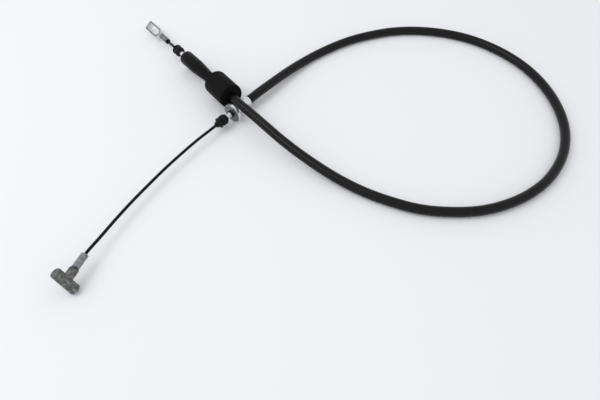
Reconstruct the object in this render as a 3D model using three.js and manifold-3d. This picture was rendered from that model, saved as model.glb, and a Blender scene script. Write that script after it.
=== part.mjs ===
// Parking brake cable: a wire that slides in a flexible conduit, with a stirrup on one end and
// a cross-bar head on the other. Millimetres, +Z up. The cable lies on the plane z = 0.
// The origin is under the middle of the fittings, and +Y points from the head to the stirrup.
import * as THREE from 'three';
import { mergeVertices } from 'three/addons/utils/BufferGeometryUtils.js';
import Module from 'manifold-3d';

const wasm = await Module();
wasm.setup();

// Clearances
const contactGap = 0.3;
const slidePlay = 0.3;
const conduitPlay = 0.35;

// Conduit and inner wire
const sheathRadius = 5.25;
const sheathBoreRadius = 4.3;
const windingRadius = 3.6;
const windingBoreRadius = 2.95;
const linerRadius = 2.4;
const linerBoreRadius = 2.05;
const wireRadius = 1.6;
const coatBoreRadius = 1.3;
const strandRadius = 1.1;

// Boots, front and rear alike, from the mouth to the nose
const bootLength = 16;
const bootMouthRadius = 4.4;
const bootBodyRadius = 6.1;
const bootBodyRounding = 1.6;
const bootBodyStart = 1.2;
const bootBodyEnd = 7.9;
const bootGrooveRadius = 4;
const bootGrooveStation = 8.9;
const bootRibRadius = 6.3;
const bootRibStation = 10.7;
const bootNoseRadius = 3.45;
const bootNoseStation = 12.7;
const bootGrip = 5;

// Front fittings, in stations from the crossing towards the stirrup
const bushStation = 11;
const bushLength = 36.5;
const bushRadius = 14.4;
const bushRounding = 1.6;
const bushSkew = -1.3;
const sleeveInBush = 3;
const sleeveFront = 114;
const sleeveRadius = 8.7;
const sleeveParallel = 26;
const sleeveTaper = 25;
const sleeveTailRadius = 6.8;
const sleeveWall = 1.3;
const rimWidth = 1.1;
const rimRadius = 7.8;
const ferruleLength = 30;
const conduitInFerrule = 21;
const spigotRadius = 2.7;
const spigotNeckRadius = 2.3;
const spigotNeckWidth = 2;
const spigotVisible = 11.6;
const frontWireVisible = 19;

// Stirrup and its crimp
const stirrupLength = 30;
const stirrupWidth = 12.2;
const stripThickness = 1.8;
const stripWidth = 7.5;
const stirrupCorner = 2.4;
const stirrupBend = 1.4;
const stirrupRoll = -36;
const neckLength = 4.5;
const tongueLength = 5.5;
const tongueWidth = 3.2;
const tongueGap = 0.2;
const frontCrimpLength = 16.5;
const frontCrimpCorners = 8;
const frontCrimpMouth = 3;
const mouthDepth = 2.2;

// Rear ferrule, in stations from the cut end of the sheath towards the head
const windingGrip = 16;
const barrelRadius = 5.8;
const flangeStation = 23.9;
const flangeThickness = 4.6;
const flangeRadius = 11.2;
const flangeChamfer = 0.7;
const collarRadius = 3.6;
const sealRadius = 4.5;
const sealWidth = 2.7;
const rearNeckRadius = 2.95;
const rearBootStation = 37.4;

// Head and its crimp
const barRadius = 5.15;
const barLength = 26.6;
const barRounding = 1;
const headCollarRadius = 4.6;
const headCollarLength = 8.3;
const headCollarDome = 0.9;
const headRoll = -63;
const stubRadius = 1.9;
const stubLength = 6;
const rearCrimpLength = 15.05;
const rearCrimpCorners = 8;

// Crimps, front and rear alike
const crimpChamfer = 0.5;
const coatInCrimp = 5;

// Travel of the inner wire, and where its moving ends stop inside the conduit
const travelIn = 15;
const travelOut = 25;
const wireEndGap = 2.5;
const frontWireStart = 60;
const rearWireStart = 10;

// How the cable lies
const rearYaw = -129;
const rearSheathEnd = new THREE.Vector3(75.9, 42.3, flangeRadius);
const crossingHeight = flangeRadius + barrelRadius + contactGap + sheathRadius;
const crossing = new THREE.Vector3(64.4, 28.1, crossingHeight);
const frontYaw = 127.8;
const frontDrop = -4.15;
const headYaw = -111;
const headCentre = new THREE.Vector3(-71.7, -198.2, 14);

// The conduit's route from the crossing round to the rear ferrule.
const loopRoute = [
  [81, 10, 21.5], [99.5, -9.5, 19.1], [117.5, -27.5, 15.9], [139, -46, 11.9],
  [170, -69.5, 7.3], [199, -88, 5.3], [227.5, -102, 5.25], [255.5, -111.5, 5.25],
  [285, -115, 5.25], [315, -113.5, 5.25], [341, -106.5, 5.25], [369.5, -92.5, 5.25],
  [396.5, -70.5, 5.25], [420.5, -37, 5.25], [433.5, -0.5, 5.25], [436.5, 37.5, 5.25],
  [430.5, 76.5, 5.25], [417.5, 109.5, 5.25], [399.5, 135.5, 5.25], [380, 154.5, 5.25],
  [358, 169.5, 5.25], [334.5, 179.5, 5.25], [309.5, 185.5, 5.25], [283, 187.5, 5.25],
  [256.5, 185, 5.25], [229.5, 177.5, 5.25], [202, 166, 5.25], [174.5, 149, 5.25],
  [147.5, 127.5, 5.5], [121.5, 99.3, 8], [103.5, 76.5, 10.2],
];

// The rear wire's route between its straight runs out of the boot and into the head's crimp.
const rearWireRoute = [
  [12.3, -37.4, 10.8], [-3.5, -60.3, 10.6], [-17.6, -83.1, 10.6], [-30.5, -105.5, 10.9],
  [-41.9, -127.7, 11.5], [-52, -149.3, 12.3],
];

// Mesh fineness
const roundSegments = 24;
const bushSegments = 32;
const conduitSides = 10;
const wireSides = 8;
const conduitSteps = 56;
const rearWireSteps = 24;
const straightSteps = 4;

// Finishes
const sheathBlack = new THREE.MeshStandardMaterial({ color: 0x1b1b1d, roughness: 0.42 });
const rubberBlack = new THREE.MeshStandardMaterial({ color: 0x18181a, roughness: 0.65 });
const sleeveBlack = new THREE.MeshStandardMaterial({ color: 0x1a1a1b, roughness: 0.45 });
const coatBlack = new THREE.MeshStandardMaterial({ color: 0x141415, roughness: 0.4 });
const linerWhite = new THREE.MeshStandardMaterial({ color: 0xe9e6dc, roughness: 0.5 });
const springSteel = new THREE.MeshStandardMaterial({ color: 0x8a8c8f, roughness: 0.4, metalness: 1 });
const strandSteel = new THREE.MeshStandardMaterial({ color: 0x9a9c9f, roughness: 0.4, metalness: 1 });
const brightZinc = new THREE.MeshStandardMaterial({ color: 0xc6c8ca, roughness: 0.32, metalness: 1 });
const roughZinc = new THREE.MeshStandardMaterial({ color: 0x8d8f92, roughness: 0.5, metalness: 1 });

const up = new THREE.Vector3(0, 0, 1);
const cable = new THREE.Group();

// The coordinates above are the crossing's own. This brings the middle of the fittings to x = y = 0.
cable.position.set(1, 3, 0);

// Direction of an axis from its yaw about +Z and its rise above the level, in degrees.
function direction(yaw, rise) {
  const a = THREE.MathUtils.degToRad(yaw);
  const b = THREE.MathUtils.degToRad(rise);
  return new THREE.Vector3(Math.cos(a) * Math.cos(b), Math.sin(a) * Math.cos(b), Math.sin(b));
}

// A group whose +Z runs along an axis. Its +X is level and its +Y points up as far as it can.
function fittingGroup(origin, axis) {
  const level = new THREE.Vector3().crossVectors(up, axis).normalize();
  const over = new THREE.Vector3().crossVectors(axis, level);
  const group = new THREE.Group();
  group.quaternion.setFromRotationMatrix(new THREE.Matrix4().makeBasis(level, over, axis));
  group.position.copy(origin);
  cable.add(group);
  return group;
}

function addPiece(parent, name, geometry, finish) {
  const mesh = new THREE.Mesh(geometry, finish);
  mesh.name = name;
  parent.add(mesh);
  return mesh;
}

// Booleans
function toSolid(geometry) {
  const bare = geometry.clone();
  bare.deleteAttribute('normal');
  bare.deleteAttribute('uv');
  const merged = mergeVertices(bare, 1e-4);
  const index = merged.index.array;
  const triangles = [];
  for (let i = 0; i < index.length; i += 3) {
    const [a, b, c] = [index[i], index[i + 1], index[i + 2]];
    if (a !== b && b !== c && c !== a) triangles.push(a, b, c);
  }
  return new wasm.Manifold(new wasm.Mesh({
    numProp: 3,
    vertProperties: new Float32Array(merged.attributes.position.array),
    triVerts: new Uint32Array(triangles),
  }));
}

function toGeometry(solid) {
  const mesh = solid.getMesh();
  const geometry = new THREE.BufferGeometry();
  geometry.setAttribute('position', new THREE.BufferAttribute(mesh.vertProperties, 3));
  geometry.setIndex(new THREE.BufferAttribute(mesh.triVerts, 1));
  return geometry;
}

// Points of an arc about a centre, between two angles in degrees.
function arc(x, y, radius, from, to, steps = 4) {
  const points = [];
  for (let i = 0; i <= steps; i++) {
    const a = THREE.MathUtils.degToRad(from + ((to - from) * i) / steps);
    points.push([x + radius * Math.cos(a), y + radius * Math.sin(a)]);
  }
  return points;
}

// A turned piece about +Z from a closed outline of [radius, station] pairs. The outline runs
// forward along the outside and back along the bore or the axis.
function turned(outline, segments = roundSegments) {
  const points = [...outline, outline[0]].map(([radius, station]) => new THREE.Vector2(radius, station));
  const geometry = new THREE.LatheGeometry(points, segments);
  geometry.rotateX(Math.PI / 2);
  return geometry;
}

// A plain cylinder about +Z between two stations.
function rod(radius, from, to, segments = roundSegments) {
  const geometry = new THREE.CylinderGeometry(radius, radius, to - from, segments);
  geometry.rotateX(Math.PI / 2);
  geometry.translate(0, 0, (from + to) / 2);
  return geometry;
}

// A route with evenly spaced stations. Every tube on it bends at the same stations, so tubes
// that lie inside each other stay apart.
function makeRoute(points, steps) {
  const curve = new THREE.CatmullRomCurve3(points);
  curve.arcLengthDivisions = 2000;
  const length = curve.getLength();
  const stations = Array.from({ length: steps + 1 }, (_, i) => (i * length) / steps);
  return { curve, length, stations };
}

// The stretch of a route between two stations. Its steps are the route's own stations.
class Stretch extends THREE.Curve {
  constructor(route, from, to) {
    super();
    const spacing = route.stations[1] / 4;
    const between = route.stations.filter((s) => s > from + spacing && s < to - spacing);
    this.route = route;
    this.cuts = [from, ...between, to];
    this.steps = this.cuts.length - 1;
  }

  place(u) {
    const station = this.cuts[Math.round(u * this.steps)];
    return THREE.MathUtils.clamp(station / this.route.length, 0, 1);
  }

  getPointAt(u, target) {
    return this.route.curve.getPointAt(this.place(u), target);
  }

  getTangentAt(u, target) {
    return this.route.curve.getTangentAt(this.place(u), target);
  }
}

function ring(radius, sides) {
  return Array.from({ length: sides }, (_, i) => {
    const a = (2 * Math.PI * i) / sides;
    return new THREE.Vector2(radius * Math.cos(a), radius * Math.sin(a));
  });
}

// A tube on a route between two stations, solid when its bore is zero.
function tube(route, from, to, radius, boreRadius, sides) {
  const path = new Stretch(route, from, to);
  const section = new THREE.Shape(ring(radius, sides));
  if (boreRadius > 0) section.holes.push(new THREE.Path(ring(boreRadius, sides)));
  return new THREE.ExtrudeGeometry(section, {
    steps: path.steps,
    bevelEnabled: false,
    extrudePath: path,
  });
}

const frontAxis = direction(frontYaw, frontDrop);
const rearAxis = direction(rearYaw, 0);
const headAxis = direction(headYaw, 0);
const onFront = (station) => crossing.clone().addScaledVector(frontAxis, station);
const onRear = (station) => rearSheathEnd.clone().addScaledVector(rearAxis, station);
const onHead = (station) => headCentre.clone().addScaledVector(headAxis, station);
const front = fittingGroup(crossing, frontAxis);
const rear = fittingGroup(rearSheathEnd, rearAxis);
const head = fittingGroup(headCentre, headAxis);

// Conduit: one route carries the sheath, the wound steel tube, the liner and the hidden wire.
const rimFront = sleeveFront + contactGap + rimWidth;
const ferruleBack = rimFront - ferruleLength;
const conduitFront = ferruleBack + conduitInFerrule;
const rearStraight = travelOut - rearWireStart + wireEndGap;
const conduit = makeRoute([
  onFront(conduitFront),
  onFront(conduitFront * 0.7),
  onFront(conduitFront * 0.4),
  onFront(bushStation),
  onFront(0),
  ...loopRoute.map(([x, y, z]) => new THREE.Vector3(x, y, z)),
  onRear(-rearStraight),
  onRear(-rearStraight / 2),
  onRear(0),
  onRear(windingGrip),
], conduitSteps);
const sheathLength = conduit.length - windingGrip;

addPiece(
  cable,
  'outer_sheath',
  tube(conduit, 0, sheathLength, sheathRadius, sheathBoreRadius, conduitSides),
  sheathBlack,
);
addPiece(
  cable,
  'wound_steel_tube',
  tube(conduit, 0, conduit.length, windingRadius, windingBoreRadius, wireSides),
  springSteel,
);
addPiece(
  cable,
  'inner_liner',
  tube(conduit, 0, conduit.length, linerRadius, linerBoreRadius, wireSides),
  linerWhite,
);

// The hidden middle of the inner wire stops short of both moving ends at their deepest.
const middleStart = conduitFront - frontWireStart + travelIn + wireEndGap;
const middleEnd = sheathLength - rearStraight;
addPiece(
  cable,
  'middle_wire',
  tube(conduit, middleStart, middleEnd, wireRadius, 0, wireSides),
  coatBlack,
);

// Front ferrule: a body crimped on the conduit, a rim ahead of the sleeve, and a spigot.
const bodyRadius = sleeveRadius - sleeveWall - contactGap;
const spigotBore = wireRadius + slidePlay;
const conduitBore = sheathRadius + conduitPlay;
const bootRear = rimFront + spigotVisible;
const spigotEnd = bootRear + bootGrip;
const neckMiddle = rimFront + spigotVisible / 2;
addPiece(front, 'front_ferrule', turned([
  [bodyRadius, ferruleBack],
  [bodyRadius, sleeveFront + contactGap],
  [rimRadius, sleeveFront + contactGap],
  [rimRadius, rimFront - 0.5],
  [rimRadius - 0.7, rimFront],
  [spigotRadius + 0.5, rimFront],
  [spigotRadius, rimFront + 0.5],
  [spigotRadius, neckMiddle - spigotNeckWidth / 2],
  [spigotNeckRadius, neckMiddle],
  [spigotRadius, neckMiddle + spigotNeckWidth / 2],
  [spigotRadius, spigotEnd],
  [spigotBore, spigotEnd],
  [spigotBore, conduitFront + contactGap],
  [conduitBore, conduitFront + contactGap],
  [conduitBore, ferruleBack],
]), brightZinc);

// Front sleeve: a moulded cover on the ferrule, tapering on to the conduit and into the bush.
const bushFront = bushStation + bushLength;
const sleeveEnd = bushFront - sleeveInBush;
const sleeveBore = bodyRadius + contactGap;
const taperFront = sleeveFront - sleeveParallel;
addPiece(front, 'front_sleeve', turned([
  [sleeveTailRadius, sleeveEnd],
  [sleeveTailRadius, taperFront - sleeveTaper],
  [sleeveRadius, taperFront],
  [sleeveRadius, sleeveFront - 0.6],
  [sleeveRadius - 0.6, sleeveFront],
  [sleeveBore, sleeveFront],
  [sleeveBore, ferruleBack - contactGap],
  [conduitBore, ferruleBack - contactGap - 1.5],
  [conduitBore, sleeveEnd],
]), sleeveBlack);

// Rubber bush: sits a little askew on the conduit, with a counterbore for the sleeve's tail.
const bushBody = turned([
  [0, 0],
  ...arc(bushRadius - bushRounding, bushRounding, bushRounding, -90, 0),
  ...arc(bushRadius - bushRounding, bushLength - bushRounding, bushRounding, 0, 90),
  [0, bushLength],
], bushSegments);
bushBody.rotateY(THREE.MathUtils.degToRad(bushSkew));
bushBody.translate(0, 0, bushStation);
const throughBore = rod(conduitBore, 0, bushFront + 10);
const counterbore = rod(sleeveTailRadius + contactGap, sleeveEnd - contactGap, bushFront + 10);
addPiece(
  front,
  'rubber_bush',
  toGeometry(toSolid(bushBody).subtract(toSolid(throughBore)).subtract(toSolid(counterbore))),
  rubberBlack,
);

// Boots: a mouth on the spigot, a rounded body, a groove, a pointed rib and a nose on the wire.
function boot(station, gripRadius) {
  const bodyX = bootBodyRadius - bootBodyRounding;
  const at = (s) => station + s;
  return turned([
    [bootMouthRadius, at(0)],
    ...arc(bodyX, at(bootBodyStart + bootBodyRounding), bootBodyRounding, -70, 0, 3),
    ...arc(bodyX, at(bootBodyEnd - bootBodyRounding), bootBodyRounding, 0, 70, 3),
    [bootGrooveRadius, at(bootGrooveStation)],
    [bootRibRadius - 0.4, at(bootRibStation - 0.4)],
    [bootRibRadius, at(bootRibStation)],
    [bootRibRadius - 0.4, at(bootRibStation + 0.4)],
    [bootNoseRadius, at(bootNoseStation)],
    [bootNoseRadius, at(bootLength - 1)],
    [bootNoseRadius - 0.9, at(bootLength)],
    [spigotBore, at(bootLength)],
    [spigotBore, at(bootGrip + contactGap)],
    [gripRadius + contactGap, at(bootGrip + contactGap)],
    [gripRadius + contactGap, at(0)],
  ]);
}

addPiece(front, 'front_boot', boot(bootRear, spigotRadius), rubberBlack);

// Rear ferrule: a barrel crimped on the wound tube, a flange, a collar for the seal, and a neck.
const windingBore = windingRadius + conduitPlay;
const flangeFront = flangeStation + flangeThickness;
const collarFront = flangeFront + sealWidth + contactGap;
const rearNeckEnd = rearBootStation + bootGrip;
addPiece(rear, 'rear_ferrule', turned([
  [barrelRadius - 0.4, contactGap],
  [barrelRadius, contactGap + 0.4],
  [barrelRadius, flangeStation],
  [flangeRadius - flangeChamfer, flangeStation],
  [flangeRadius, flangeStation + flangeChamfer],
  [flangeRadius, flangeFront - flangeChamfer],
  [flangeRadius - flangeChamfer, flangeFront],
  [collarRadius, flangeFront],
  [collarRadius, collarFront],
  [rearNeckRadius, collarFront + 0.6],
  [rearNeckRadius, rearNeckEnd],
  [spigotBore, rearNeckEnd],
  [spigotBore, windingGrip + contactGap],
  [windingBore, windingGrip + contactGap],
  [windingBore, contactGap],
], bushSegments), brightZinc);

const sealBack = flangeFront + contactGap;
addPiece(rear, 'rear_seal_ring', turned([
  [sealRadius - 0.5, sealBack],
  [sealRadius, sealBack + 0.5],
  [sealRadius, sealBack + sealWidth - 0.5],
  [sealRadius - 0.5, sealBack + sealWidth],
  [collarRadius + contactGap, sealBack + sealWidth],
  [collarRadius + contactGap, sealBack],
]), rubberBlack);

addPiece(rear, 'rear_boot', boot(rearBootStation, rearNeckRadius), rubberBlack);

// Front wire: straight, from deep in the conduit to its crimp.
const crimpBack = bootRear + bootLength + frontWireVisible;
const crimpFront = crimpBack + frontCrimpLength;
const tongueEnd = crimpFront - tongueLength;
const frontWire = makeRoute([onFront(frontWireStart), onFront(tongueEnd - contactGap)], straightSteps);
addPiece(
  cable,
  'front_wire_coat',
  tube(frontWire, 0, crimpBack + coatInCrimp - frontWireStart, wireRadius, coatBoreRadius, wireSides),
  coatBlack,
);
addPiece(
  cable,
  'front_wire_strand',
  tube(frontWire, 0, frontWire.length, strandRadius, 0, wireSides),
  strandSteel,
);

// A hexagonal crimp about +Z with one flat up. Its ends are chamfered, and it grips the coat
// and the bare strand from its back end and a stub or tongues from its front end.
function hexCrimp(corners, length, mouthRadius, plugRadius, plugDepth) {
  const edge = corners / 2;
  const bar = rod(edge, 0, length, 6);
  bar.rotateZ(Math.PI / 6);
  const ease = turned([
    [0, 0],
    [edge - crimpChamfer, 0],
    [edge + 0.1, crimpChamfer + 0.1],
    [edge + 0.1, length - crimpChamfer - 0.1],
    [edge - crimpChamfer, length],
    [0, length],
  ]);
  const bore = turned([
    [0, -1],
    [mouthRadius, -1],
    [mouthRadius, 0],
    [wireRadius + contactGap, mouthDepth],
    [wireRadius + contactGap, coatInCrimp + contactGap],
    [strandRadius + contactGap, coatInCrimp + contactGap],
    [strandRadius + contactGap, length - plugDepth - contactGap],
    [plugRadius + contactGap, length - plugDepth - contactGap],
    [plugRadius + contactGap, length + 1],
    [0, length + 1],
  ]);
  return toGeometry(toSolid(bar).intersect(toSolid(ease)).subtract(toSolid(bore)));
}

// Front crimp
const tongueOut = tongueGap / 2 + stripThickness;
const frontCrimp = hexCrimp(
  frontCrimpCorners,
  frontCrimpLength,
  frontCrimpMouth,
  Math.hypot(tongueWidth / 2, tongueOut),
  tongueLength,
);
frontCrimp.translate(0, 0, crimpBack);
addPiece(front, 'stirrup_crimp', frontCrimp, brightZinc);

// Stirrup: a flat strip bent into an oblong eye. Its two ends meet at the neck and run into the
// crimp as narrow tongues. The outline is [across, along], with zero at the wall by the neck.
const tongueBack = -neckLength - tongueLength;
const bendX = tongueOut + stirrupBend;
const halfWidth = stirrupWidth / 2;
const cornerX = halfWidth - stirrupCorner;
const innerCorner = stirrupCorner - stripThickness;
const outerEdge = [
  [tongueOut, tongueBack],
  ...arc(bendX, -stirrupBend, stirrupBend, 180, 90),
  ...arc(cornerX, stirrupCorner, stirrupCorner, -90, 0),
  ...arc(cornerX, stirrupLength - stirrupCorner, stirrupCorner, 0, 90),
];
const innerEdge = [
  [tongueGap / 2, tongueBack],
  ...arc(bendX, -stirrupBend, stirrupBend + stripThickness, 180, 90),
  ...arc(cornerX, stirrupCorner, innerCorner, -90, 0),
  ...arc(cornerX, stirrupLength - stirrupCorner, innerCorner, 0, 90),
];
const mirrored = (edge) => edge.map(([x, y]) => [-x, y]);
const stripOutline = [
  ...outerEdge,
  ...mirrored(outerEdge).reverse(),
  ...mirrored(innerEdge),
  ...innerEdge.slice().reverse(),
];

// A prism about +Z through an [across, along] outline, as deep as given.
function prism(outline, depth) {
  const shape = new THREE.Shape(outline.map(([x, y]) => new THREE.Vector2(x, y)));
  const geometry = new THREE.ExtrudeGeometry(shape, { depth, bevelEnabled: false });
  geometry.translate(0, 0, -depth / 2);
  geometry.rotateX(Math.PI / 2);
  return geometry;
}

const stripEdge = stripWidth / 2 + 1;
const narrowing = prism([
  [-tongueWidth / 2, tongueBack - 1],
  [tongueWidth / 2, tongueBack - 1],
  [tongueWidth / 2, -neckLength],
  [stripEdge, 0],
  [stripEdge, stirrupLength + 1],
  [-stripEdge, stirrupLength + 1],
  [-stripEdge, 0],
  [-tongueWidth / 2, -neckLength],
], stirrupWidth + 2);
narrowing.rotateZ(Math.PI / 2);
const stirrup = toGeometry(toSolid(prism(stripOutline, stripWidth)).intersect(toSolid(narrowing)));
stirrup.rotateZ(THREE.MathUtils.degToRad(stirrupRoll));
stirrup.translate(0, 0, crimpFront + neckLength);
addPiece(front, 'stirrup', stirrup, brightZinc);

// Head: a cross-bar with a collar, and a stub that runs into the crimp.
const bar = turned([
  [0, -barLength / 2],
  ...arc(barRadius - barRounding, barRounding - barLength / 2, barRounding, -90, 0),
  ...arc(barRadius - barRounding, barLength / 2 - barRounding, barRounding, 0, 90),
  [0, barLength / 2],
]);
bar.rotateY(Math.PI / 2);
const collarBack = -barRadius - headCollarLength;
const headStem = turned([
  [0, collarBack - headCollarDome - contactGap - stubLength],
  [stubRadius, collarBack - headCollarDome - contactGap - stubLength],
  [stubRadius, collarBack - headCollarDome],
  [headCollarRadius * 0.6, collarBack - headCollarDome * 0.8],
  [headCollarRadius * 0.9, collarBack - headCollarDome * 0.3],
  [headCollarRadius, collarBack + 0.4],
  [headCollarRadius, 0],
  [0, 0],
]);
const headGeometry = toGeometry(toSolid(bar).add(toSolid(headStem)));
headGeometry.rotateZ(THREE.MathUtils.degToRad(headRoll));
addPiece(head, 't_head', headGeometry, roughZinc);

// Rear crimp
const rearCrimpFront = collarBack - headCollarDome - contactGap;
const rearCrimpBack = rearCrimpFront - rearCrimpLength;
const rearCrimp = hexCrimp(rearCrimpCorners, rearCrimpLength, wireRadius + 2 * contactGap, stubRadius, stubLength);
rearCrimp.translate(0, 0, rearCrimpBack);
addPiece(head, 't_crimp', rearCrimp, roughZinc);

// Rear wire: straight out of the boot as far as it travels, then curved to the head's crimp.
const rearNose = rearBootStation + bootLength;
const rearStrandEnd = rearCrimpFront - stubLength - 2 * contactGap;
const rearWire = makeRoute([
  onRear(rearWireStart),
  onRear(rearNose),
  onRear(rearNose + travelOut / 2),
  onRear(rearNose + travelOut + wireEndGap),
  ...rearWireRoute.map(([x, y, z]) => new THREE.Vector3(x, y, z)),
  onHead(rearCrimpBack - 3),
  onHead(rearCrimpBack),
  onHead(rearCrimpBack + coatInCrimp),
  onHead(rearStrandEnd),
], rearWireSteps);
const rearCoatLength = rearWire.length - (rearStrandEnd - rearCrimpBack - coatInCrimp);
addPiece(
  cable,
  'rear_wire_coat',
  tube(rearWire, 0, rearCoatLength, wireRadius, coatBoreRadius, wireSides),
  coatBlack,
);
addPiece(
  cable,
  'rear_wire_strand',
  tube(rearWire, 0, rearWire.length, strandRadius, 0, wireSides),
  strandSteel,
);

export default cable;
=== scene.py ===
# %% [markdown]
# # A parking brake cable
# The cable is a wire that slides in a black conduit. The conduit lies in one wide loop and
# crosses over its own rear ferrule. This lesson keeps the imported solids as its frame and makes
# each visible piece again, smooth and fine, in the same place and at the same size.

# %% Load the frame
import math

import bmesh
import bpy
from mathutils import Matrix, Vector


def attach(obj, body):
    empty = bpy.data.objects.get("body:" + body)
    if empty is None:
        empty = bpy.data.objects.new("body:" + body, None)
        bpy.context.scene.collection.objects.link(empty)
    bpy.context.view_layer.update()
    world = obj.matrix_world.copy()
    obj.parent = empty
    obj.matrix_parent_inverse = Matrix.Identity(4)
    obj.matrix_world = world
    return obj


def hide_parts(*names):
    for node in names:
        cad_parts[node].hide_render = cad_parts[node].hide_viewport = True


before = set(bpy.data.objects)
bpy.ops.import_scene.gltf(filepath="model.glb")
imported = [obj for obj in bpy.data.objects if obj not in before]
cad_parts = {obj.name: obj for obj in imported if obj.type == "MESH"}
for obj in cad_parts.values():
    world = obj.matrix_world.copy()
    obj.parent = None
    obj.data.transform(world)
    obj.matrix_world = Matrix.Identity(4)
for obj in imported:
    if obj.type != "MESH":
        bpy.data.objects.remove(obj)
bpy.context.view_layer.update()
MM = 0.001
CENTRING = Vector((0.001, 0.003, 0.0))
print("solids:", len(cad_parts))

# %% [markdown]
# The photograph looks down at the cable from the front. A camera needs a place, a point to look
# at and a lens. These come from where known points of the cable lie in the photograph, so the
# camera is set first and never moved to flatter a piece.

# %% Camera
camera_data = bpy.data.cameras.new("camera")
camera_data.lens = 32.4
camera_data.sensor_width = 36.0
camera_data.clip_start = 0.01
camera = bpy.data.objects.new("camera", camera_data)
camera.location = Vector((0.136, -0.43565, 0.43487)) + CENTRING
camera_target = Vector((0.136, -0.1, 0.00525)) + CENTRING
camera.rotation_euler = (camera_target - camera.location).to_track_quat("-Z", "Y").to_euler()
bpy.context.collection.objects.link(camera)
bpy.context.scene.camera = camera

# %% [markdown]
# Three straight axes carry all the fittings: the front line from the crossing to the stirrup,
# the rear ferrule's axis, and the stem of the T head. A matrix for each one puts a piece that is
# made along Z, in millimetres, into its place in the frame.

# %% Axes of the fittings


def axis_from(yaw, rise):
    yaw = math.radians(yaw)
    rise = math.radians(rise)
    level = math.cos(rise)
    return Vector((math.cos(yaw) * level, math.sin(yaw) * level, math.sin(rise)))


def fitting_frame(origin, axis):
    level = Vector((0, 0, 1)).cross(axis).normalized()
    over = axis.cross(level)
    turn = Matrix((level, over, axis)).transposed().to_4x4()
    return Matrix.Translation(origin + CENTRING) @ turn @ Matrix.Scale(MM, 4)


REAR_AXIS = axis_from(-129.0, 0.0)
FRONT = fitting_frame(Vector((0.0644, 0.0281, 0.02255)), axis_from(127.8, -4.15))
REAR = fitting_frame(Vector((0.0759, 0.0423, 0.0112)), REAR_AXIS)
HEAD = fitting_frame(Vector((-0.0717, -0.1982, 0.014)), axis_from(-111.0, 0.0))


def on(place, station):
    return place @ Vector((0, 0, station))


# %% [markdown]
# The conduit and the wires follow routes through a list of points. The curve between the points
# is the same centripetal one that the solids follow, so the smooth tubes lie just where the
# plain ones do.

# %% Routes


def smooth_route(points, steps=12):
    points = [Vector(p) for p in points]
    points = [2 * points[0] - points[1], *points, 2 * points[-1] - points[-2]]
    line = []
    for p0, p1, p2, p3 in zip(points, points[1:], points[2:], points[3:]):
        d0, d1, d2 = (math.sqrt((b - a).length) for a, b in ((p0, p1), (p1, p2), (p2, p3)))
        m1 = ((p1 - p0) / d0 - (p2 - p0) / (d0 + d1) + (p2 - p1) / d1) * d1
        m2 = ((p2 - p1) / d1 - (p3 - p1) / (d1 + d2) + (p3 - p2) / d2) * d1
        for k in range(steps):
            t = k / steps
            h = (2 * t**3 - 3 * t**2 + 1, t**3 - 2 * t**2 + t, 3 * t**2 - 2 * t**3, t**3 - t**2)
            line.append(h[0] * p1 + h[1] * m1 + h[2] * p2 + h[3] * m2)
    line.append(points[-2])
    return line


def length_of(line):
    return sum((b - a).length for a, b in zip(line, line[1:]))


CONDUIT_FRONT = 106.4
REAR_STRAIGHT = 17.5
BUSH_STATION = 11.0
LOOP = [
    (0.081, 0.010, 0.0215), (0.0995, -0.0095, 0.0191), (0.1175, -0.0275, 0.0159),
    (0.139, -0.046, 0.0119), (0.17, -0.0695, 0.0073), (0.199, -0.088, 0.0053),
    (0.2275, -0.102, 0.00525), (0.2555, -0.1115, 0.00525), (0.285, -0.115, 0.00525),
    (0.315, -0.1135, 0.00525), (0.341, -0.1065, 0.00525), (0.3695, -0.0925, 0.00525),
    (0.3965, -0.0705, 0.00525), (0.4205, -0.037, 0.00525), (0.4335, -0.0005, 0.00525),
    (0.4365, 0.0375, 0.00525), (0.4305, 0.0765, 0.00525), (0.4175, 0.1095, 0.00525),
    (0.3995, 0.1355, 0.00525), (0.38, 0.1545, 0.00525), (0.358, 0.1695, 0.00525),
    (0.3345, 0.1795, 0.00525), (0.3095, 0.1855, 0.00525), (0.283, 0.1875, 0.00525),
    (0.2565, 0.185, 0.00525), (0.2295, 0.1775, 0.00525), (0.202, 0.166, 0.00525),
    (0.1745, 0.149, 0.00525), (0.1475, 0.1275, 0.0055), (0.1215, 0.0993, 0.008),
    (0.1035, 0.0765, 0.0102),
]
sheath_line = smooth_route([
    *(on(FRONT, CONDUIT_FRONT * part) for part in (1, 0.7, 0.4)),
    on(FRONT, BUSH_STATION),
    on(FRONT, 0),
    *(Vector(p) + CENTRING for p in LOOP),
    on(REAR, -REAR_STRAIGHT),
    on(REAR, -REAR_STRAIGHT / 2),
    on(REAR, 0),
])

REAR_CRIMP_BACK = -29.7
FRONT_CRIMP_BACK = 162.0
COAT_IN_CRIMP = 5.0
WIRE_START = 60.0
FRONT_WIRE_STEPS = 24
REAR_WIRE_STATIONS = (10, 53.4, 65.9, 80.9)
REAR_WIRE_POINTS = [
    (0.0123, -0.0374, 0.0108), (-0.0035, -0.0603, 0.0106), (-0.0176, -0.0831, 0.0106),
    (-0.0305, -0.1055, 0.0109), (-0.0419, -0.1277, 0.0115), (-0.052, -0.1493, 0.0123),
]
rear_wire_line = smooth_route([
    *(on(REAR, station) for station in REAR_WIRE_STATIONS),
    *(Vector(p) + CENTRING for p in REAR_WIRE_POINTS),
    *(on(HEAD, REAR_CRIMP_BACK + beyond) for beyond in (-3, 0, COAT_IN_CRIMP)),
])
front_wire_reach = FRONT_CRIMP_BACK + COAT_IN_CRIMP - WIRE_START
front_wire_line = [
    on(FRONT, WIRE_START + front_wire_reach * k / FRONT_WIRE_STEPS) for k in range(FRONT_WIRE_STEPS + 1)
]
print("sheath", round(length_of(sheath_line), 4), "m; rear wire", round(length_of(rear_wire_line), 4), "m")

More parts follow.
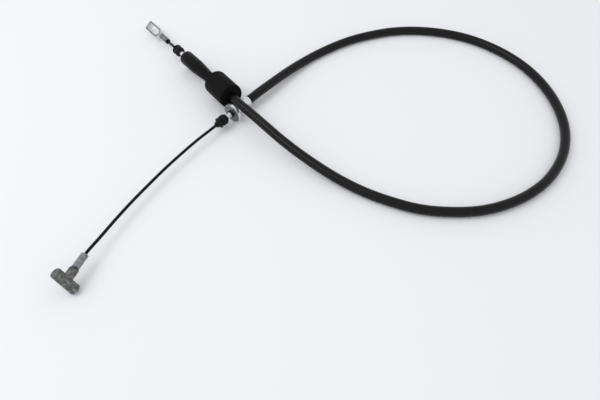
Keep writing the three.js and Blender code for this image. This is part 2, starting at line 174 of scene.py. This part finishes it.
# %% [markdown]
# Colours are written as sRGB hex, as a paint program shows them. Blender's shaders count light,
# so one function turns them to linear values. A second one adds a node with its settings and
# its links, which keeps each material short enough to read.

# %% Colour and node helpers


def srgb(code):
    parts = (int(code[i : i + 2], 16) / 255 for i in (1, 3, 5))
    return (*(c / 12.92 if c <= 0.04045 else ((c + 0.055) / 1.055) ** 2.4 for c in parts), 1.0)


def node(tree, kind, settings=None, **inputs):
    made = tree.nodes.new(kind)
    for name, value in (settings or {}).items():
        setattr(made, name, value)
    for name, value in inputs.items():
        socket = made.inputs[int(name[1:])] if name[0] == "i" and name[1:].isdigit() else made.inputs[name]
        if isinstance(value, bpy.types.NodeSocket):
            tree.links.new(value, socket)
        else:
            socket.default_value = value
    return made


def start_material(name):
    material = bpy.data.materials.new(name)
    material.use_nodes = True
    material.node_tree.nodes.clear()
    return material, material.node_tree


def per_mm(size):
    """Noise scale whose features are about this many millimetres across."""
    return 1 / (size * MM)


def finish_material(tree, shader):
    node(tree, "ShaderNodeOutputMaterial", Surface=shader.outputs["BSDF"])


def ramp(tree, value, stops):
    made = node(tree, "ShaderNodeValToRGB", Fac=value)
    elements = made.color_ramp.elements
    while len(elements) < len(stops):
        elements.new(0.5)
    for element, (place, colour) in zip(elements, stops):
        element.position = place
        element.color = srgb(colour)
    return made.outputs["Color"]


# %% [markdown]
# The black pieces are four different stuffs. The sheath is extruded PVC, smooth and a little
# glossy. The sleeve is moulded nylon. The bush and the boots are moulded EPDM rubber, which is
# duller and has a bloom of fine grain. The wire wears a thin polished coat of its own. All of
# them read as black, so the difference is mostly in roughness and in the size of the grain. The
# real grain is too fine to show from the camera, so it is drawn coarser than it is.

# %% Black finishes


def black_finish(name, dark, light, rough, grain_mm, bump_mm, blotch_mm, shine=0.2):
    material, tree = start_material(name)
    place = node(tree, "ShaderNodeTexCoord").outputs["Object"]
    blotches = node(
        tree, "ShaderNodeTexNoise", Vector=place, Scale=per_mm(blotch_mm), Detail=4.0, Roughness=0.6
    ).outputs["Fac"]
    grain = node(
        tree, "ShaderNodeTexNoise", Vector=place, Scale=per_mm(grain_mm), Detail=3.0, Roughness=0.55
    ).outputs["Fac"]
    colour = ramp(tree, blotches, [(0.35, dark), (0.7, light)])
    roughness = node(
        tree, "ShaderNodeMapRange", i0=blotches, i1=0.3, i2=0.7, i3=rough - 0.06, i4=rough + 0.08
    ).outputs["Result"]
    bump = node(
        tree, "ShaderNodeBump", Strength=0.6, Distance=bump_mm * MM, Height=grain
    ).outputs["Normal"]
    shader = node(tree, "ShaderNodeBsdfPrincipled")
    tree.links.new(colour, shader.inputs["Base Color"])
    tree.links.new(roughness, shader.inputs["Roughness"])
    tree.links.new(bump, shader.inputs["Normal"])
    shader.inputs["IOR"].default_value = 1.5
    shader.inputs["Specular IOR Level"].default_value = shine
    finish_material(tree, shader)
    return material


pvc_sheath = black_finish(
    "extruded_pvc_sheath", "#070708", "#0b0b0d",
    rough=0.28, grain_mm=1.6, bump_mm=0.02, blotch_mm=14, shine=0.22,
)
nylon_sleeve = black_finish(
    "moulded_nylon_sleeve", "#040405", "#08080a",
    rough=0.4, grain_mm=1.2, bump_mm=0.03, blotch_mm=9, shine=0.08,
)
epdm_bush = black_finish(
    "moulded_epdm_bush", "#060607", "#0c0c0e",
    rough=0.62, grain_mm=0.7, bump_mm=0.05, blotch_mm=6, shine=0.1,
)
epdm_boot = black_finish(
    "moulded_epdm_boot", "#09090a", "#111113",
    rough=0.5, grain_mm=0.6, bump_mm=0.04, blotch_mm=5, shine=0.18,
)
wire_coat = black_finish(
    "extruded_wire_coat", "#070708", "#0d0d0e",
    rough=0.32, grain_mm=0.9, bump_mm=0.02, blotch_mm=6, shine=0.16,
)

# %% [markdown]
# The metal is steel with zinc on it. On the stirrup and the ferrules the zinc is bright and
# smooth, with faint cloudy patches. The pressed crimps, the flat faces of the rear ferrule and
# the sheared edges of the stirrup are a duller grey. The T head is forged, and its zinc is thick
# and pitted, so dark specks and light flecks lie side by side. The steel tube and the strands
# are bare drawn steel, and the liner is a pale plastic, made by the same function as the blacks.

# %% Metal finishes


def zinc_finish(name, colours, rough, cloud_mm, pit_mm, bump_mm):
    material, tree = start_material(name)
    place = node(tree, "ShaderNodeTexCoord").outputs["Object"]
    clouds = node(
        tree, "ShaderNodeTexNoise", Vector=place, Scale=per_mm(cloud_mm), Detail=6.0, Roughness=0.65
    ).outputs["Fac"]
    pits = node(
        tree, "ShaderNodeTexNoise", Vector=place, Scale=per_mm(pit_mm), Detail=3.0, Roughness=0.6
    ).outputs["Fac"]
    colour = ramp(tree, clouds, colours)
    roughness = node(
        tree, "ShaderNodeMapRange", i0=clouds, i1=0.35, i2=0.65, i3=rough + 0.1, i4=rough - 0.05
    ).outputs["Result"]
    bump = node(
        tree, "ShaderNodeBump", Strength=0.7, Distance=bump_mm * MM, Height=pits
    ).outputs["Normal"]
    shader = node(tree, "ShaderNodeBsdfPrincipled", Metallic=1.0)
    tree.links.new(colour, shader.inputs["Base Color"])
    tree.links.new(roughness, shader.inputs["Roughness"])
    tree.links.new(bump, shader.inputs["Normal"])
    finish_material(tree, shader)
    return material


bright_zinc = zinc_finish(
    "bright_zinc_plate", [(0.3, "#d2d4d5"), (0.5, "#e0e1e2"), (0.7, "#ececec")],
    rough=0.32, cloud_mm=4.5, pit_mm=0.6, bump_mm=0.02,
)
pressed_zinc = zinc_finish(
    "pressed_zinc_plate", [(0.3, "#6c6e70"), (0.5, "#828486"), (0.7, "#999b9d")],
    rough=0.36, cloud_mm=3.0, pit_mm=0.6, bump_mm=0.03,
)
rough_zinc = zinc_finish(
    "forged_zinc_plate", [(0.34, "#4e4f4d"), (0.5, "#696a68"), (0.68, "#939491")],
    rough=0.4, cloud_mm=2.8, pit_mm=0.8, bump_mm=0.1,
)
spring_steel = zinc_finish(
    "drawn_spring_steel", [(0.3, "#77797b"), (0.7, "#a3a5a7")],
    rough=0.38, cloud_mm=2.0, pit_mm=0.4, bump_mm=0.03,
)
strand_steel = zinc_finish(
    "drawn_strand_steel", [(0.3, "#85878a"), (0.7, "#b4b6b8")],
    rough=0.36, cloud_mm=1.2, pit_mm=0.3, bump_mm=0.03,
)
liner_plastic = black_finish(
    "extruded_liner", "#dcd8cb", "#e8e5db", rough=0.5, grain_mm=0.8, bump_mm=0.02, blotch_mm=4
)

# %% [markdown]
# A tube follows a path, so Geometry Nodes make it: the line of points becomes a curve, the curve
# is cut into even steps, and a ring is carried along it. The result is an open skin. A Solidify
# modifier then gives it its wall, so the conduit is hollow and the wire can slide in it.

# %% Tube tree


def tube_tree():
    tree = bpy.data.node_groups.new("tube_on_a_line", "GeometryNodeTree")
    face = tree.interface
    face.new_socket("Geometry", in_out="INPUT", socket_type="NodeSocketGeometry")
    for name, kind, value in (
        ("Radius", "NodeSocketFloat", 0.005),
        ("Step", "NodeSocketFloat", 0.003),
        ("Sides", "NodeSocketInt", 24),
        ("Finish", "NodeSocketMaterial", None),
    ):
        socket = face.new_socket(name, in_out="INPUT", socket_type=kind)
        if value is not None:
            socket.default_value = value
    face.new_socket("Geometry", in_out="OUTPUT", socket_type="NodeSocketGeometry")
    given = node(tree, "NodeGroupInput").outputs
    line = node(tree, "GeometryNodeMeshToCurve", Mesh=given["Geometry"]).outputs["Curve"]
    even = node(tree, "GeometryNodeResampleCurve", {"mode": "LENGTH"}, Curve=line, Length=given["Step"])
    ring = node(
        tree, "GeometryNodeCurvePrimitiveCircle", Resolution=given["Sides"], Radius=given["Radius"]
    ).outputs["Curve"]
    skin = node(tree, "GeometryNodeCurveToMesh", Curve=even.outputs["Curve"])
    tree.links.new(ring, skin.inputs["Profile Curve"])
    smooth = node(tree, "GeometryNodeSetShadeSmooth", Geometry=skin.outputs["Mesh"])
    real = node(tree, "GeometryNodeRealizeInstances", Geometry=smooth.outputs["Geometry"])
    done = node(tree, "GeometryNodeSetMaterial", Geometry=real.outputs["Geometry"], Material=given["Finish"])
    node(tree, "NodeGroupOutput", Geometry=done.outputs["Geometry"])
    return tree


TUBE = tube_tree()


def socket_id(tree, name):
    return next(s.identifier for s in tree.interface.items_tree if s.name == name and s.in_out == "INPUT")


def plain_mesh(thing, name):
    """The evaluated object as a new object with no modifiers."""
    depsgraph = bpy.context.evaluated_depsgraph_get()
    mesh = bpy.data.meshes.new_from_object(thing.evaluated_get(depsgraph))
    mesh.name = name
    made = bpy.data.objects.new(name, mesh)
    bpy.context.collection.objects.link(made)
    bpy.data.objects.remove(thing)
    return made


def make_tube(name, line, radius_mm, wall_mm, finish, step_mm=2.5, sides=24):
    mesh = bpy.data.meshes.new(name + "_line")
    mesh.from_pydata([tuple(p) for p in line], [(i, i + 1) for i in range(len(line) - 1)], [])
    thing = bpy.data.objects.new(name + "_line", mesh)
    bpy.context.collection.objects.link(thing)
    skin = thing.modifiers.new("skin", "NODES")
    skin.node_group = TUBE
    for label, value in (
        ("Radius", radius_mm * MM), ("Step", step_mm * MM), ("Sides", sides), ("Finish", finish)
    ):
        skin[socket_id(TUBE, label)] = value
    wall = thing.modifiers.new("wall", "SOLIDIFY")
    wall.thickness = wall_mm * MM
    wall.offset = -1.0
    return plain_mesh(thing, name)


# %% [markdown]
# Three tubes show: the sheath, the coat of the front wire and the coat of the rear wire. The
# sheath and the rear wire lie free. Both of their ends go into fittings of the cable itself.

# %% Sheath and wires


def put(piece, body, slot, *nodes):
    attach(piece, body)
    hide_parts(*nodes)
    print(piece.name, len(piece.data.polygons), "faces")


SHEATH_RADIUS = 5.25
SHEATH_WALL = 0.95
WIRE_RADIUS = 1.6
COAT_WALL = 0.3
sheath = make_tube("sheath_tube", sheath_line, SHEATH_RADIUS, SHEATH_WALL, pvc_sheath)
put(sheath, "conduit", "sheath_plastic", "outer_sheath")

rear_wire = make_tube(
    "rear_wire_tube", rear_wire_line, WIRE_RADIUS, COAT_WALL, wire_coat, step_mm=2, sides=16
)
put(rear_wire, "rear_end", "wire_coat", "rear_wire_coat")

front_wire = make_tube(
    "front_wire_tube", front_wire_line, WIRE_RADIUS, COAT_WALL, wire_coat, step_mm=4, sides=16
)
put(front_wire, "front_end", "wire_coat", "front_wire_coat")

# %% [markdown]
# Most fittings are turned or moulded round an axis, so each is an outline of radius and station
# spun round Z. The outline runs forward along the outside and back along the bore. A spin can
# leave the faces pointing in, so the normals are made consistent once the doubles are merged.
# A small bevel takes the knife edge off every corner, as tumbling and plating do.

# %% Turned pieces
BEVEL_FROM_DEGREES = 30
SHARP_FROM_DEGREES = 38


def arc(x, y, radius, start, end, steps=8):
    angles = (math.radians(start + (end - start) * k / steps) for k in range(steps + 1))
    return [(x + radius * math.cos(a), y + radius * math.sin(a)) for a in angles]


def spun(outline, segments):
    mesh = bmesh.new()
    rings = []
    for k in range(segments):
        a = 2 * math.pi * k / segments
        rings.append([mesh.verts.new((r * math.cos(a), r * math.sin(a), z)) for r, z in outline])
    count = len(outline)
    for ring, following in zip(rings, rings[1:] + rings[:1]):
        for i in range(count):
            j = (i + 1) % count
            mesh.faces.new((ring[i], following[i], following[j], ring[j]))
    bmesh.ops.remove_doubles(mesh, verts=mesh.verts, dist=1e-5)
    bmesh.ops.recalc_face_normals(mesh, faces=mesh.faces)
    return mesh


def as_object(name, mesh, finish):
    data = bpy.data.meshes.new(name)
    mesh.to_mesh(data)
    mesh.free()
    data.materials.append(finish)
    thing = bpy.data.objects.new(name, data)
    bpy.context.collection.objects.link(thing)
    return thing


def dress(thing, bevel_mm=0.0, segments=2, place=None):
    """Bevels the hard edges, shades the rest smooth, and moves the mesh to its place."""
    if bevel_mm:
        bevel = thing.modifiers.new("edges", "BEVEL")
        bevel.width = bevel_mm
        bevel.segments = segments
        bevel.limit_method = "ANGLE"
        bevel.angle_limit = math.radians(BEVEL_FROM_DEGREES)
        bevel.harden_normals = False
    name = thing.name
    made = plain_mesh(thing, name + "_done")
    made.name = name
    if place is not None:
        made.data.transform(place)
    for face in made.data.polygons:
        face.use_smooth = True
    made.data.set_sharp_from_angle(angle=math.radians(SHARP_FROM_DEGREES))
    return made


def turned(name, outline, finish, place, segments=96, bevel_mm=0.15):
    return dress(as_object(name, spun(outline, segments), finish), bevel_mm, place=place)


def duller_faces(thing, axis, nearness=0.6):
    """Gives the cut faces, which look along the axis, the greyer zinc."""
    thing.data.materials.append(pressed_zinc)
    for face in thing.data.polygons:
        if abs(face.normal.dot(axis)) > nearness:
            face.material_index = 1


# %% [markdown]
# The front ferrule is pressed on the conduit under the sleeve. Only its rim and its spigot
# show, the spigot with a V-shaped neck that the boot clips over.

# %% Front ferrule
WIRE_BORE = 1.9
CONDUIT_BORE = 5.6
front_ferrule = turned("ferrule_front", [
    (7.1, 85.4), (7.1, 114.3), (7.8, 114.3), (7.8, 114.9), (7.1, 115.4), (3.2, 115.4), (2.7, 115.9),
    (2.7, 120.2), (2.3, 121.2), (2.7, 122.2), (2.7, 132), (WIRE_BORE, 132), (WIRE_BORE, 106.7),
    (CONDUIT_BORE, 106.7), (CONDUIT_BORE, 85.4),
], bright_zinc, FRONT)
put(front_ferrule, "conduit", "bright_zinc", "front_ferrule")

# %% [markdown]
# The sleeve is a moulded cover. It is as thick as the ferrule at its front and thins to the
# conduit towards the bush, so the cable can bend there without a kink.

# %% Front sleeve
sleeve = turned("sleeve_front", [
    (6.8, 44.5), (6.8, 63), (6.92, 65.4), (8.58, 85.6), (8.7, 88), (8.7, 113.3), (8.0, 114),
    (7.4, 114), (7.4, 85.1), (CONDUIT_BORE, 83.6), (CONDUIT_BORE, 44.5),
], nylon_sleeve, FRONT, bevel_mm=0.1)
put(sleeve, "conduit", "sleeve_plastic", "front_sleeve")

# %% [markdown]
# The bush is a plain thick ring of rubber that a bracket holds. It sits a little askew, so its
# hole is cut along the conduit and not along its own axis. A boolean makes that cut.

# %% Rubber bush
BUSH_LENGTH = 36.5
BUSH_RADIUS = 14.4
BUSH_ROUND = 1.6
BUSH_SKEW = math.radians(-1.3)


def cut(thing, cutter, operation="DIFFERENCE"):
    change = thing.modifiers.new("cut", "BOOLEAN")
    change.operation = operation
    change.solver = "EXACT"
    change.object = cutter
    name = thing.name
    made = plain_mesh(thing, name + "_cut")
    made.name = name
    bpy.data.objects.remove(cutter)
    return made


bush_mesh = spun([
    (0, 0),
    *arc(BUSH_RADIUS - BUSH_ROUND, BUSH_ROUND, BUSH_ROUND, -90, 0),
    *arc(BUSH_RADIUS - BUSH_ROUND, BUSH_LENGTH - BUSH_ROUND, BUSH_ROUND, 0, 90),
    (0, BUSH_LENGTH),
], 128)
bmesh.ops.transform(
    bush_mesh,
    matrix=Matrix.Translation((0, 0, BUSH_STATION)) @ Matrix.Rotation(BUSH_SKEW, 4, "Y"),
    verts=bush_mesh.verts,
)
hole_mesh = spun([
    (0, 5), (CONDUIT_BORE, 5), (CONDUIT_BORE, 44.2), (7.1, 44.2), (7.1, 60), (0, 60),
], 96)
bush = cut(
    as_object("bush_rubber", bush_mesh, epdm_bush),
    as_object("bush_hole", hole_mesh, epdm_bush),
)
bush = dress(bush, place=FRONT)
put(bush, "conduit", "black_rubber", "rubber_bush")

# %% [markdown]
# Both boots are the same moulding: a rounded body over the spigot, a V groove, a pointed rib and
# a nose that wipes the wire.

# %% Boots
FRONT_BOOT_BACK = 127.0
REAR_BOOT_BACK = 37.4


def boot_outline(at, grip):
    return [
        (4.4, at), *arc(4.5, at + 2.8, 1.6, -70, 0, 6), *arc(4.5, at + 6.3, 1.6, 0, 70, 6),
        (4.15, at + 8.65), (4.0, at + 8.9), (4.15, at + 9.1), (5.9, at + 10.3), (6.23, at + 10.55),
        (6.3, at + 10.7), (6.23, at + 10.85), (5.9, at + 11.1), (3.6, at + 12.6), (3.45, at + 12.9),
        (3.45, at + 15), (2.55, at + 16), (WIRE_BORE, at + 16), (WIRE_BORE, at + 5.3),
        (grip, at + 5.3), (grip, at),
    ]


front_boot = turned(
    "boot_front", boot_outline(FRONT_BOOT_BACK, grip=3.0), epdm_boot, FRONT, bevel_mm=0.12
)
put(front_boot, "conduit", "black_rubber", "front_boot")
rear_boot = turned(
    "boot_rear", boot_outline(REAR_BOOT_BACK, grip=3.25), epdm_boot, REAR, bevel_mm=0.12
)
put(rear_boot, "conduit", "black_rubber", "rear_boot")

# %% [markdown]
# The rear ferrule is turned from one bar: the barrel that grips the steel tube, the round
# flange, the collar with a black ring on it, and the neck for the boot.

# %% Rear ferrule and black ring
rear_ferrule = turned("ferrule_rear", [
    (5.4, 0.3), (5.8, 0.7), (5.8, 23.9), (10.5, 23.9), (11.2, 24.6), (11.2, 27.8), (10.5, 28.5),
    (3.6, 28.5), (3.6, 31.5), (2.95, 32.1), (2.95, 42.4), (WIRE_BORE, 42.4), (WIRE_BORE, 16.3),
    (3.95, 16.3), (3.95, 0.3),
], bright_zinc, REAR, segments=128, bevel_mm=0.2)
duller_faces(rear_ferrule, REAR_AXIS)
put(rear_ferrule, "conduit", "bright_zinc", "rear_ferrule")
# A black ring in the boots' rubber sits on the collar in front of the flange, so the collar shows dark
# there.
seal_ring = turned("seal_ring", [
    (4.0, 28.8), (4.5, 29.3), (4.5, 31), (4.0, 31.5), (3.9, 31.5), (3.9, 28.8),
], epdm_boot, REAR, bevel_mm=0.0)
put(seal_ring, "conduit", "black_rubber", "rear_seal_ring")

# %% [markdown]
# A crimp is a round tube pressed to a hexagon. Here a hexagonal bar is cut by a round one with
# chamfered ends, which leaves the curved scallops that a press leaves, and then it is bored.
# The mouth on the wire's side flares a little.

# %% Crimps
MOUTH_DEPTH = 2.2
COAT_HOLE_DEPTH = 5.3
STRAND_HOLE = 1.4
PLAY = 0.3


def hex_crimp(name, finish, corners, length, mouth, plug, plug_depth, start, place):
    edge = corners / 2
    hexagon = spun([(0, 0), (edge, 0), (edge, length), (0, length)], 6)
    bmesh.ops.rotate(
        hexagon, cent=(0, 0, 0), matrix=Matrix.Rotation(math.pi / 3, 3, "Z"), verts=hexagon.verts
    )
    ease = spun([
        (0, 0), (edge - 0.5, 0), (edge + 0.1, 0.6), (edge + 0.1, length - 0.6), (edge - 0.5, length),
        (0, length),
    ], 96)
    seat = length - plug_depth - PLAY
    bore = spun([
        (0, -1), (mouth, -1), (mouth, 0), (WIRE_BORE, MOUTH_DEPTH), (WIRE_BORE, COAT_HOLE_DEPTH),
        (STRAND_HOLE, COAT_HOLE_DEPTH), (STRAND_HOLE, seat), (plug + PLAY, seat),
        (plug + PLAY, length + 1), (0, length + 1),
    ], 48)
    body = cut(as_object(name, hexagon, finish), as_object("ease", ease, finish), "INTERSECT")
    body = cut(body, as_object("bore", bore, finish))
    return dress(body, 0.22, place=place @ Matrix.Translation((0, 0, start)))


front_crimp = hex_crimp(
    "crimp_front", pressed_zinc, corners=8, length=16.5, mouth=3, plug=2.484, plug_depth=5.5,
    start=FRONT_CRIMP_BACK, place=FRONT,
)
put(front_crimp, "front_end", "bright_zinc", "stirrup_crimp")
rear_crimp = hex_crimp(
    "crimp_rear", pressed_zinc, corners=8, length=15.05, mouth=2.2, plug=1.9, plug_depth=6,
    start=REAR_CRIMP_BACK, place=HEAD,
)
put(rear_crimp, "rear_end", "rough_zinc", "t_crimp")

# %% [markdown]
# The stirrup is a flat strip bent round into an oblong eye. Its outline, seen across the strip,
# is given its width, and a second shape narrows the two ends that run into the crimp.

# %% Stirrup
TONGUE_OUT = 1.9
TONGUE_BACK = -10.0
STIRRUP_START = 183.0
STIRRUP_ROLL = math.radians(-36)
STIRRUP = {"length": 30.0, "half": 6.1, "strip": 1.8, "width": 7.5, "corner": 2.4, "bend": 1.4}


def strip_edge(inset):
    """One edge of the strip on the right side, from the tongue's end to the far wall."""
    bend_x = TONGUE_OUT + STIRRUP["bend"]
    corner_x = STIRRUP["half"] - STIRRUP["corner"]
    corner = STIRRUP["corner"]
    radius = corner - inset
    return [
        (TONGUE_OUT - inset, TONGUE_BACK),
        *arc(bend_x, -STIRRUP["bend"], STIRRUP["bend"] + inset, 180, 90),
        *arc(corner_x, corner, radius, -90, 0),
        *arc(corner_x, STIRRUP["length"] - corner, radius, 0, 90),
    ]


def mirrored(edge):
    return [(-x, y) for x, y in edge]


def prism(outline, depth):
    mesh = bmesh.new()
    floor = mesh.faces.new([mesh.verts.new((x, depth / 2, y)) for x, y in outline])
    grown = bmesh.ops.extrude_face_region(mesh, geom=[floor])["geom"]
    moved = [v for v in grown if isinstance(v, bmesh.types.BMVert)]
    bmesh.ops.translate(mesh, verts=moved, vec=(0, -depth, 0))
    bmesh.ops.recalc_face_normals(mesh, faces=mesh.faces)
    return mesh


outer_edge = strip_edge(0.0)
inner_edge = strip_edge(STIRRUP["strip"])
strip = prism([
    *outer_edge, *reversed(mirrored(outer_edge)), *mirrored(inner_edge), *reversed(inner_edge),
], STIRRUP["width"])
narrow_edge = [(1.6, -11), (1.6, -4.5), (4.75, 0), (4.75, 31)]
narrowing = prism([*narrow_edge, *reversed(mirrored(narrow_edge))], 16)
bmesh.ops.rotate(
    narrowing, cent=(0, 0, 0), matrix=Matrix.Rotation(math.pi / 2, 3, "Z"), verts=narrowing.verts
)
stirrup = cut(
    as_object("stirrup_eye", strip, bright_zinc),
    as_object("narrowing", narrowing, bright_zinc),
    "INTERSECT",
)
stirrup_place = FRONT @ Matrix.Translation((0, 0, STIRRUP_START)) @ Matrix.Rotation(STIRRUP_ROLL, 4, "Z")
stirrup = dress(stirrup, 0.3, 3, place=stirrup_place)
duller_faces(stirrup, stirrup_place.col[1].xyz.normalized())
put(stirrup, "front_end", "bright_zinc", "stirrup")

# %% [markdown]
# The T head is a forging: a round bar with a collar grown out of its middle. The collar's end is
# domed, and a stub runs from it into the crimp.

# %% T head
BAR_HALF = 13.3
BAR_RADIUS = 5.15
BAR_ROUND = 1.0
HEAD_ROLL = math.radians(-63)
bar_mesh = spun([
    (0, -BAR_HALF),
    *arc(BAR_RADIUS - BAR_ROUND, BAR_ROUND - BAR_HALF, BAR_ROUND, -90, 0),
    *arc(BAR_RADIUS - BAR_ROUND, BAR_HALF - BAR_ROUND, BAR_ROUND, 0, 90),
    (0, BAR_HALF),
], 96)
bmesh.ops.rotate(
    bar_mesh, cent=(0, 0, 0), matrix=Matrix.Rotation(math.pi / 2, 3, "Y"), verts=bar_mesh.verts
)
stem_mesh = spun([
    (0, -20.65), (1.9, -20.65), (1.9, -14.35), (2.76, -14.17), (3.6, -13.96), (4.14, -13.72),
    (4.45, -13.42), (4.6, -13.05), (4.6, 0), (0, 0),
], 96)
t_head = cut(
    as_object("head_bar", bar_mesh, rough_zinc),
    as_object("stem", stem_mesh, rough_zinc),
    "UNION",
)
t_head = dress(t_head, 0.25, place=HEAD @ Matrix.Rotation(HEAD_ROLL, 4, "Z"))
put(t_head, "rear_end", "rough_zinc", "t_head")

# %% [markdown]
# The steel tube, the liner, the middle of the wire and the strands are hidden or nearly so. They
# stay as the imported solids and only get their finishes.

# %% Hidden pieces
for name, finish in (
    ("wound_steel_tube", spring_steel),
    ("inner_liner", liner_plastic),
    ("middle_wire", wire_coat),
    ("front_wire_strand", strand_steel),
    ("rear_wire_strand", strand_steel),
):
    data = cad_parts[name].data
    data.materials.clear()
    data.materials.append(finish)

# %% [markdown]
# The cable lies on a white table under soft light. A pale world fills all the shadows, and one
# big lamp high on the left gives the faint shadows that fall to the right.

# %% Floor and light
floor_material, floor_tree = start_material("white_table")
floor_shader = node(floor_tree, "ShaderNodeBsdfPrincipled", Roughness=0.9)
floor_shader.inputs["Base Color"].default_value = srgb("#f4f5f7")
floor_shader.inputs["Specular IOR Level"].default_value = 0.0
finish_material(floor_tree, floor_shader)
floor_mesh = bmesh.new()
bmesh.ops.create_grid(floor_mesh, x_segments=1, y_segments=1, size=4.0)
floor = as_object("floor", floor_mesh, floor_material)

world = bpy.data.worlds.new("pale_room")
world.use_nodes = True
world.node_tree.nodes.clear()
background = node(world.node_tree, "ShaderNodeBackground", Strength=0.83)
background.inputs["Color"].default_value = srgb("#fdfdff")
node(world.node_tree, "ShaderNodeOutputWorld", Surface=background.outputs["Background"])
bpy.context.scene.world = world

lamp_data = bpy.data.lights.new("softbox", "AREA")
lamp_data.shape = "RECTANGLE"
lamp_data.size = 1.0
lamp_data.size_y = 0.8
lamp_data.energy = 5.6
lamp = bpy.data.objects.new("softbox", lamp_data)
lamp.location = Vector((-0.8, -0.15, 1.3))
lamp.rotation_euler = (Vector((0.15, 0, 0)) - lamp.location).to_track_quat("-Z", "Y").to_euler()
bpy.context.collection.objects.link(lamp)

bpy.context.scene.view_settings.view_transform = "Standard"
